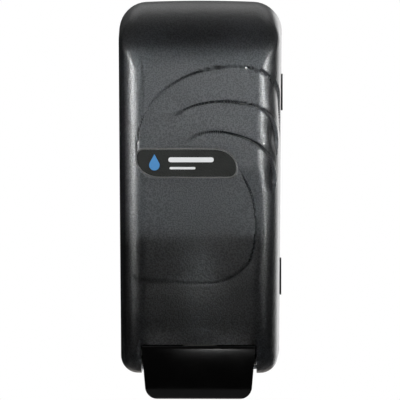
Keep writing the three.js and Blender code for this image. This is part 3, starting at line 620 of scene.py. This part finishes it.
MATERIALS = {
    # name, clear colour, cloudy colour, roughness from and to, grain
    "smoke": smoke_plastic("smoke_plastic", (0.33, 0.35, 0.38), (0.68, 0.715, 0.76), 0.32, 0.35, 0.15),
    "smoke_inside": smoke_plastic(
        "smoke_plastic_inside", (0.55, 0.57, 0.6), (0.6, 0.62, 0.65), 0.68, 0.74, 0.05),
    # name, dark colour, light colour, roughness, how fine and how high the grain is, specular
    "black": moulded("black_plastic", (0.012, 0.012, 0.013), (0.02, 0.02, 0.021), 0.5, 1400, 0.03, 0.15),
    "gloss": moulded("gloss_black_plastic", (0.004, 0.004, 0.0042), (0.006, 0.006, 0.006), 0.16, 220, 0.004),
    "natural": moulded("natural_plastic", (0.74, 0.74, 0.71), (0.82, 0.82, 0.79), 0.42, 500, 0.02),
    "grey": moulded("grey_plastic", (0.3, 0.3, 0.29), (0.36, 0.36, 0.35), 0.45, 900, 0.02),
    "rubber": moulded("seal_rubber", (0.04, 0.036, 0.032), (0.06, 0.055, 0.05), 0.7, 1600, 0.02),
    "steel": steel(),
    "badge": moulded("badge_field", (0.006, 0.007, 0.006), (0.014, 0.016, 0.014), 0.5, 800, 0.35, 0.4),
    "badge_rim": moulded("badge_rim", (0.12, 0.122, 0.118), (0.17, 0.172, 0.166), 0.32, 900, 0.01),
    "print_blue": moulded("print_blue", (0.05, 0.22, 0.5), (0.06, 0.26, 0.56), 0.35, 900, 0.005),
    "print_white": moulded("print_white", (0.72, 0.74, 0.75), (0.8, 0.81, 0.82), 0.35, 900, 0.005),
}


# ---------- pieces ----------
def plain_skin(name, inset, rear):
    """The skin without relief, in a coarser mesh."""
    return skin(name, inset, rear, (8, 10, np.linspace(0, 1, 31)), 14, 4, 8)


def cover_extras():
    """The rib that the latch holds and the cheeks beside the pocket, trimmed to the cover's outline."""
    rib = LATCH_RIB
    rib_low = span("front_cover")[1][2] - rib["drop"]
    rib_high = HALF_HEIGHT - rib["sunk"]
    extras = [block("rib", -rib["half"], rib["half"], rib["front"], rib["back"], rib_low, rib_high)]
    outline = plain_skin("outline", 0.05, DEPTH)
    for side in (-1, 1):
        near, far = sorted((side * POCKET_HALF, side * (POCKET_HALF + CHEEK)))
        extras.append(block("cheek", near, far, FRONT_Y + 1, CHEEK_BACK, COVER_LOW, CHEEK_TOP))
    for extra in extras:
        mask = outline.copy()
        mask.data = outline.data.copy()
        bpy.context.scene.collection.objects.link(mask)
        boolean(extra, [mask], "INTERSECT")
    bpy.data.objects.remove(outline)
    return extras


def cover_cutters():
    """The pocket, the hinge lugs' room, the round heel, the pin holes, the badge's seat and the key slots."""
    heel = block("heel", -80, 80, HINGE_Y, 5, COVER_LOW, HINGE_Z)
    circle = arc(HINGE_Y, HINGE_Z, HEEL_RADIUS, 0, 360, 96)[:-1]
    boolean(heel, [prism("round", circle, -90, 90, "x")])
    pocket = round_trapezium(POCKET_HALF, POCKET_HALF, POCKET_TOP, COVER_LOW, 1.5, 1.5, 6)
    seat = prism("seat", badge_outline(BADGE_SEAT), -110, -95.9, "y")
    key = KEY_SLOTS
    middles = [(n - (key["count"] - 1) / 2) * key["pitch"] for n in range(key["count"])]
    slots = [
        block("slot", x - key["half"], x + key["half"], key["front"], key["back"], key["low"], key["high"])
        for x in middles]
    return [
        prism("pocket", pocket, FRONT_Y - 20, POCKET_BACK, "y"),
        block("lug_room", -LUG_ROOM_HALF, LUG_ROOM_HALF, LUG_ROOM_FRONT, 5, COVER_LOW, LUG_ROOM_TOP),
        heel,
        prism("pin_hole", arc(HINGE_Y, HINGE_Z, HINGE_HOLE, 0, 360, 32)[:-1], -80, 80, "x"),
        prism("lever_hole", arc(LEVER_Y, LEVER_Z, LEVER_HOLE, 0, 360, 32)[:-1], -47.5, 47.5, "x"),
        seat,
    ] + slots


def front_cover():
    """The shell, its relief pressed in, its inner wall duller than its outer one."""
    steps = (10, 80, side_steps(40, 420))
    shell = press_relief(skin("front_cover_shell", 0.0, DEPTH, steps, 40, 60, 80))
    hollow = plain_skin("hollow", WALL, DEPTH + 5)
    extras = cover_extras()
    for piece in (shell, hollow):
        piece.data.materials.append(MATERIALS["smoke"])
        piece.data.materials.append(MATERIALS["smoke_inside"])
    for face in hollow.data.polygons:
        face.material_index = 1
    boolean(shell, [hollow])
    boolean(shell, extras, "UNION")
    boolean(shell, cover_cutters())
    smooth(shell, 32)
    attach(shell, "cover")
    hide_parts("front_cover")


def face_y(x, z):
    """The front face's y at a point of it."""
    return bend(np.asarray(x, float) / (1 - DRAFT), 0.0, np.asarray(z, float))[..., 1]


def badge():
    """The badge follows the face's crown: a textured field inside a raised rim."""
    field = prism("badge_field", badge_outline(BADGE_FIELD), -1.6, -0.55, "y")
    rim = prism("badge_rim", badge_outline(BADGE_RIM), -1.6, 0.1, "y")
    boolean(rim, [prism("inner", badge_outline(BADGE_RIM_INNER), -3, 3, "y")])
    bevel(rim, 0.3, 4, 60)
    left = BADGE_X - 12
    drop = printed("badge_drop", droplet(BADGE_X - 24.5, BADGE_Z + 0.4, 5.6))
    long_bar = printed("badge_bar_long", capsule(left, BADGE_X + 19, BADGE_Z + 2.6, 1.9))
    short_bar = printed("badge_bar_short", capsule(left, BADGE_X + 6, BADGE_Z - 3.8, 0.9))
    pieces = [
        (field, "badge"), (rim, "badge_rim"), (drop, "print_blue"), (long_bar, "print_white"),
        (short_bar, "print_white")]
    for piece, look in pieces:
        follow_face(piece)
        smooth(piece, 40)
        finish_piece(piece, "cover", "badge", MATERIALS[look])
    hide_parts("badge_plate")


def follow_face(piece):
    """Lays a piece made about y = 0 on the front face, its y as height above it turned outwards."""
    for vertex in piece.data.vertices:
        x, y, z = np.array(vertex.co) / MM
        vertex.co.y = (face_y(x, z) - BADGE_PROUD - y) * MM
    piece.data.flip_normals()


def printed(name, outline):
    """A thin raised print on the badge's field."""
    return prism(name, outline, -0.7, -0.3, "y")


def capsule(x0, x1, z, radius):
    """A bar with round ends."""
    return arc(x1, z, radius, -90, 90, 10) + arc(x0, z, radius, 90, 270, 10)


def droplet(x, z, radius):
    """A water drop: a round belly drawn up to a point."""
    belly = arc(x, z - radius * 0.35, radius * 0.72, 155, 385, 28)
    return belly + [(x, z + radius * 1.15)]


def bow(start, towards, end, steps):
    """A curve from start to end that leaves and arrives towards the middle point, without its start."""
    t = np.linspace(0, 1, steps + 1)[:, None]
    start, towards, end = np.array(start), np.array(towards), np.array(end)
    return ((1 - t) ** 2 * start + 2 * t * (1 - t) * towards + t * t * end)[1:].tolist()


def bar_profile(inset, back, grow):
    """The push bar's side view in (y, z), its front drawn in by `inset` and its top raised by `grow`."""
    front, low = BAR_FRONT + inset, BAR_LOW + inset
    lip = (BAR_LIP + inset, BAR_TOP)
    points = [[back, BAR_TOP + grow], [lip[0], BAR_TOP + grow], list(lip)]
    points += bow(lip, (front + 0.6, BAR_TOP - 0.4), (front + 0.2, BAR_TOP - 2.6), 8)
    points.append((front, -134))
    points += bow(points[-1], (front - 0.4, -150), (-98.5 + inset, low + 1.5), 14)
    points += bow(points[-1], (-97.6 + inset, low), (-95 + inset, low), 6)
    return points + [[BAR_OPEN[0], low], [back, BAR_OPEN[1]]]


def push_bar():
    """A thin shell, open at the back: a ledge behind its lip, bosses for the lever pins, screw holes."""
    body = prism("push_bar_body", bar_profile(0.0, BAR_BACK, 0.0), -50, 50, "x")
    outline = round_trapezium(BAR_HALF_TOP, BAR_HALF_LOW, BAR_TOP + 0.01, BAR_LOW, 1.2, 10.0, 14)
    boolean(body, [prism("outline", outline, -120, -60, "y")], "INTERSECT")
    inner = bar_profile(BAR_SKIN, -69.0, 10.0)
    half = BAR_HOLLOW_HALF
    hollow = prism("hollow", inner, -half, half, "x")
    boolean(body, [hollow, block("below", -50, 50, BAR_OPEN[0], -60, -170, BAR_OPEN[1])])
    boss = prism("boss", arc(LEVER_Y, LEVER_Z, 3.6, 0, 360, 48)[:-1], -43.9, 43.9, "x")
    boolean(boss, [prism("hollow", inner, -half, half, "x")])
    ledge = block("ledge", -40, 40, BAR_LIP + 0.3, -91, -123.6, -121.6)
    boolean(body, [boss, ledge], "UNION")
    screw = BAR_SCREWS
    holes = [prism("hole", arc(LEVER_Y, LEVER_Z, LEVER_HOLE, 0, 360, 32)[:-1], -50, 50, "x")]
    for x in (-screw["x"], screw["x"]):
        circle = arc(x, screw["z"], screw["radius"], 0, 360, 20)[:-1]
        holes.append(prism("screw", circle, -100.2, -90, "y"))
    boolean(body, holes)
    bevel(body, 0.5, 3, 35)
    smooth(body, 40)
    finish_piece(body, "push_bar", "gloss_black", MATERIALS["gloss"], "push_bar")


def tank_ring(half, front, back, radius, steps=10):
    """The tank's rounded outline in (x, y)."""
    return np.array(
        arc(half - radius, back - radius, radius, 0, 90, steps)
        + arc(-half + radius, back - radius, radius, 90, 180, steps)
        + arc(-half + radius, front + radius, radius, 180, 270, steps)
        + arc(half - radius, front + radius, radius, 270, 360, steps))


def tank_solid(name, inset, edge):
    """A round-edged box, its rings drawn in at the top and bottom."""
    low, high = TANK_LOW + inset, TANK_HIGH - inset
    turn = np.linspace(0, math.pi / 2, 9)
    rings = []
    lower = [(low + edge * (1 - math.sin(t)), edge * (1 - math.cos(t))) for t in turn[::-1]]
    upper = [(high - edge * (1 - math.sin(t)), edge * (1 - math.cos(t))) for t in turn]
    for z, drawn in lower + upper:
        inner = inset + drawn
        corner = TANK_CORNER - inset - drawn * 0.8
        flat = tank_ring(TANK_HALF - inner, TANK_FRONT + inner, TANK_BACK - inner, corner)
        rings.append(np.column_stack([flat, np.full(len(flat), z)]))
    count = len(rings[0])
    last = (len(rings) - 1) * count
    faces = tube_faces(len(rings), count)
    faces += [tuple(range(count))[::-1], tuple(range(last, last + count))]
    return tidy_mesh(new_object(name, np.concatenate(rings), faces))


def reservoir():
    """A blown tank with a wide neck above, an outlet below and level marks pressed into its front."""
    tank = tank_solid("reservoir_tank", 0.0, 5.0)
    boolean(tank, [
        turned("neck", [(0, 105), (24, 105), (24, 113), (0, 113)]),
        turned("outlet", [(0, -47), (13, -47), (13, -37), (0, -37)]),
    ], "UNION")
    grooves = [
        block("groove", -34, 34, -90, TANK_FRONT + 0.8, z - 0.6, z + 0.6) for z in np.linspace(-15, 85, 6)]
    boolean(tank, [
        tank_solid("inside", TANK_WALL, 3.0),
        turned("mouth", [(0, 100), (21, 100), (21, 120), (0, 120)]),
        turned("bore", [(0, -50), (9.5, -50), (9.5, -30), (0, -30)]),
    ])
    boolean(tank, grooves)
    bevel(tank, 0.4, 2, 50)
    smooth(tank, 35)
    finish_piece(tank, "chassis", "natural_plastic", MATERIALS["natural"], "reservoir")


def pump():
    """The pump's fixed parts: the ribbed lock ring, gasket, cylinder, end cap, inlet valve and spring."""
    natural, rubber = MATERIALS["natural"], MATERIALS["rubber"]
    ring_profile = [
        (13.4, -40.2), (13.4, -50.2), (10, -50.2), (10, -53), (16.2, -53), (17, -52.2), (17, -41),
        (16.4, -40.2)]
    lock = turned("pump_lock_ring_body", ring_profile, segments=96)
    rib_count = 24
    axis = Matrix.Translation((0, PUMP_Y * MM, 0))
    ribs = []
    for n in range(rib_count):
        rib = block("rib", 16.8, 17.6, -0.7, 0.7, -51.5, -41.5)
        rib.data.transform(axis @ Matrix.Rotation(n * math.tau / rib_count, 4, "Z"))
        ribs.append(rib)
    boolean(lock, ribs, "UNION")
    finish_piece(smooth(lock), "chassis", "grey_plastic", MATERIALS["grey"], "pump_lock_ring")
    shapes = {
        "pump_gasket": ([(9.8, -48.3), (12.9, -48.3), (12.9, -47.3), (9.8, -47.3)], rubber, "seal_rubber"),
        "pump_cylinder": ([
            (1.7, -48.6), (12.9, -48.6), (12.9, -49.9), (9.2, -49.9), (9.2, -73), (7, -73), (7, -51.6),
            (1.7, -51.6)], natural, "natural_plastic"),
        "pump_end_cap": ([
            (5, -73.3), (9.5, -73.3), (9.5, -66.4), (9.9, -66), (11.1, -66), (11.5, -66.4), (11.5, -73),
            (17.4, -74), (18, -74.6), (18, -75.9), (17.5, -76.4), (5, -76.4)], natural, "natural_plastic"),
        "inlet_valve": ([
            (0, -53), (4.6, -52.75), (5.2, -52.4), (5.2, -52), (1.3, -52), (1.3, -48.2), (2.2, -48.2),
            (1.3, -46.9), (0, -46.9)], rubber, "seal_rubber"),
    }
    for node, (profile, material, slot) in shapes.items():
        finish_piece(smooth(turned(node + "_body", profile)), "chassis", slot, material, node)
    spring = coil("pump_spring_wire", 7.0, 0.7, -119.7, -76.7, 7, PUMP_Y)
    finish_piece(spring, "chassis", "steel", MATERIALS["steel"], "pump_spring")
    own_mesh(spring)


def piston():
    """What the lever lifts: the hollow stem, its seal, and the nozzle with its valve below."""
    natural, rubber = MATERIALS["natural"], MATERIALS["rubber"]
    shapes = {
        "piston_stem": ([
            (1.8, -145.5), (4.2, -145.5), (4.2, -124.8), (5.4, -123.6), (13.4, -123.6), (14, -123),
            (14, -120.6), (13.4, -120), (4.2, -120), (4.2, -71.7), (5.8, -71.7), (5.8, -70.4), (3.4, -70.4),
            (3.4, -67.4), (5.8, -67.4), (5.8, -66.4), (5.4, -66), (1.8, -66)], natural, "natural_plastic"),
        "piston_seal": ([
            (3.7, -70.1), (6.4, -70.1), (6.7, -68.9), (6.4, -67.7), (3.7, -67.7)], rubber, "seal_rubber"),
        "outlet_nozzle": ([
            (4.5, -139.5), (6.9, -139.5), (7.2, -139.9), (7.2, -146), (4.9, -153.1), (4.6, -153.5),
            (3.4, -153.5), (3.4, -147.3), (4.5, -147.3)], natural, "natural_plastic"),
        "outlet_valve": ([
            (0.5, -155), (1.1, -155), (2.9, -150), (2.9, -147), (4.1, -147), (4.1, -145.9), (0.5, -145.9)],
            rubber, "seal_rubber"),
    }
    for node, (profile, material, slot) in shapes.items():
        finish_piece(smooth(turned(node + "_body", profile)), "pump_piston", slot, material, node)


def fill_cap():
    """A cup over the neck, with a grip across its top and flutes round its side, and the seal inside it."""
    cup = turned("fill_cap_body", [
        (0, 114.4), (24.4, 114.4), (24.4, 107.6), (26.6, 107.6), (27, 108), (27, 115.5), (26, 116.5),
        (0, 116.5)], segments=120)
    grip = block("grip", -21, 21, PUMP_Y - 3, PUMP_Y + 3, 115.5, 120.5)
    bevel(grip, 1.4, 3)
    flute_count = 30
    flutes = []
    for n in range(flute_count):
        angle = n * math.tau / flute_count
        centre = (27.6 * math.cos(angle), PUMP_Y + 27.6 * math.sin(angle))
        flutes.append(turned("flute", [(0, 106), (1.1, 106), (1.1, 115), (0, 115)], centre, 16))
    boolean(cup, [grip], "UNION")
    boolean(cup, flutes)
    finish_piece(smooth(cup), "fill_cap", "black_plastic", MATERIALS["black"], "fill_cap")
    seal = turned("cap_seal_ring", [(21.2, 113.3), (24, 113.3), (24, 114.1), (21.2, 114.1)])
    finish_piece(smooth(seal), "fill_cap", "seal_rubber", MATERIALS["rubber"], "cap_seal")


def latch_spring():
    """The small spring that holds the latch slider up."""
    spring = coil("latch_spring_wire", 2.4, 0.45, 123.8, 134.4, 5, -29.0, 30, 8)
    finish_piece(spring, "chassis", "steel", MATERIALS["steel"], "latch_spring")
    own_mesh(spring)


def blocky_parts():
    """The moulded brackets, with the small edge rounds that a mould leaves."""
    parts = [
        ("back_plate", "back_plate_body", 0.5, "chassis"),
        ("latch_guide", "latch_guide_body", 0.3, "chassis"),
        ("reservoir_cradle", "reservoir_cradle_body", 0.5, "chassis"),
        ("lever_fork", "lever_fork_body", 0.5, "push_bar"),
        ("latch_slider", "latch_slider_body", 0.4, "latch"),
    ]
    for node, name, width, body in parts:
        piece = rounded_copy(node, name, width)
        finish_piece(piece, body, "black_plastic", MATERIALS["black"], node)


def steel_parts():
    """The screws and the pins."""
    for node, obj in frame["nodes"].items():
        if "screw" in node or "pin" in node.split("_"):
            body = obj["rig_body"]
            piece = rounded_copy(node, node + "_body", 0.15)
            finish_piece(piece, body, "steel", MATERIALS["steel"], node)


# ---------- camera, floor and light ----------
ROOM_DIM = 0.02
ROOM_GLOWS = [  # direction, where the glow starts and is full (as a cosine), strength
    ((0.5, 0.87, 0.0), 0.91, 0.95, 2.6),
    ((0.0, 0.5, 0.87), 0.4, 1.0, 0.3),
]


def aim(obj, location, target):
    """Places a camera or light and points it at the target, both in metres."""
    obj.location = location
    direction = Vector(target) - Vector(location)
    obj.rotation_euler = direction.to_track_quat("-Z", "Y").to_euler()


def camera():
    """A long lens, almost straight in front and a little above."""
    data = bpy.data.cameras.new("camera")
    data.sensor_width = 36
    data.lens = 348
    obj = bpy.data.objects.new("camera", data)
    bpy.context.scene.collection.objects.link(obj)
    middle = Vector((0.0, -0.05, -0.0113))
    azimuth, elevation, distance = math.radians(1.3), math.radians(1.7), 3.0
    level = math.cos(elevation)
    offset = Vector((math.sin(azimuth) * level, -math.cos(azimuth) * level, math.sin(elevation)))
    aim(obj, middle + offset * distance, middle)
    bpy.context.scene.camera = obj


def softbox(name, location, target, width, height, power, spread=180, colour=(1, 1, 1)):
    """A soft light, its size in metres, its power in watts. A narrow spread, in degrees, acts as a grid."""
    data = bpy.data.lights.new(name, "AREA")
    data.shape = "RECTANGLE"
    data.size, data.size_y = width, height
    data.energy = power
    data.spread = math.radians(spread)
    data.color = colour
    obj = bpy.data.objects.new(name, data)
    bpy.context.scene.collection.objects.link(obj)
    aim(obj, location, target)


def studio():
    """Softboxes over, under, in front of and beside the object, in a dark room with two glows behind it."""
    softbox("overhead", (0, 0.6, 1.0), (0, 0, 0), 1.2, 0.7, 2.6)
    softbox("front", (0.1, -1.65, 0.26), (0, -0.05, 0.05), 1.0, 0.24, 0.13, 18)
    softbox("underneath", (0, 0.6, -0.75), (0, 0, -0.1), 1.2, 0.5, 1.9, 180, (1.0, 0.93, 0.86))
    softbox("left_strip", (-1.25, -0.7, 0.17), (0, -0.05, 0.08), 0.4, 0.2, 0.3, 13)
    softbox("right_strip", (1.15, -0.7, 0.17), (0, -0.05, 0.08), 0.3, 0.2, 0.21, 13)
    room()


def room_glow(nodes, links):
    """The room's brightness by direction: dim all round, with the glows added."""
    place = nodes.new("ShaderNodeTexCoord")
    total = None
    for direction, start, end, strength in ROOM_GLOWS:
        facing = nodes.new("ShaderNodeVectorMath")
        facing.operation = "DOT_PRODUCT"
        facing.inputs[1].default_value = Vector(direction).normalized()
        links.new(place.outputs["Generated"], facing.inputs[0])
        lobe = nodes.new("ShaderNodeMapRange")
        lobe.interpolation_type = "SMOOTHSTEP"
        set_ranges(lobe, start, end, 0.0, strength)
        links.new(facing.outputs["Value"], lobe.inputs["Value"])
        add = nodes.new("ShaderNodeMath")
        add.operation = "ADD"
        if total is None:
            add.inputs[0].default_value = ROOM_DIM
        else:
            links.new(total, add.inputs[0])
        links.new(lobe.outputs["Result"], add.inputs[1])
        total = add.outputs["Value"]
    return total


def room():
    """The room lights the object by direction, and the camera sees it as white."""
    world = bpy.data.worlds.new("room")
    bpy.context.scene.world = world
    world.use_nodes = True
    nodes, links = world.node_tree.nodes, world.node_tree.links
    nodes.clear()
    seen = nodes.new("ShaderNodeLightPath")
    choose = nodes.new("ShaderNodeMix")
    choose.inputs["B"].default_value = 1.0
    links.new(room_glow(nodes, links), choose.inputs["A"])
    links.new(seen.outputs["Is Camera Ray"], choose.inputs["Factor"])
    back = nodes.new("ShaderNodeBackground")
    back.inputs["Color"].default_value = (1, 1, 1, 1)
    out = nodes.new("ShaderNodeOutputWorld")
    links.new(choose.outputs["Result"], back.inputs["Strength"])
    links.new(back.outputs["Background"], out.inputs["Surface"])


def floor():
    """A pale disc of paper, far below the dispenser."""
    level, radius = -900, 1300
    disc = turned("floor", [(0, level), (radius, level), (radius, level - 1), (0, level - 1)], (0, 0), 96)
    material, nodes, links, shader = node_material("floor_paper", (0.85, 0.85, 0.85), 0.8)
    paper = tint(nodes, links, noise(nodes, links, 8, 2), (0.84, 0.84, 0.84), (0.87, 0.87, 0.87))
    links.new(paper, shader.inputs["Base Color"])
    disc.data.materials.append(material)


camera()
studio()
floor()
front_cover()
badge()
push_bar()
reservoir()
pump()
piston()
fill_cap()
latch_spring()
blocky_parts()
steel_parts()

bpy.context.scene.view_settings.view_transform = "Standard"
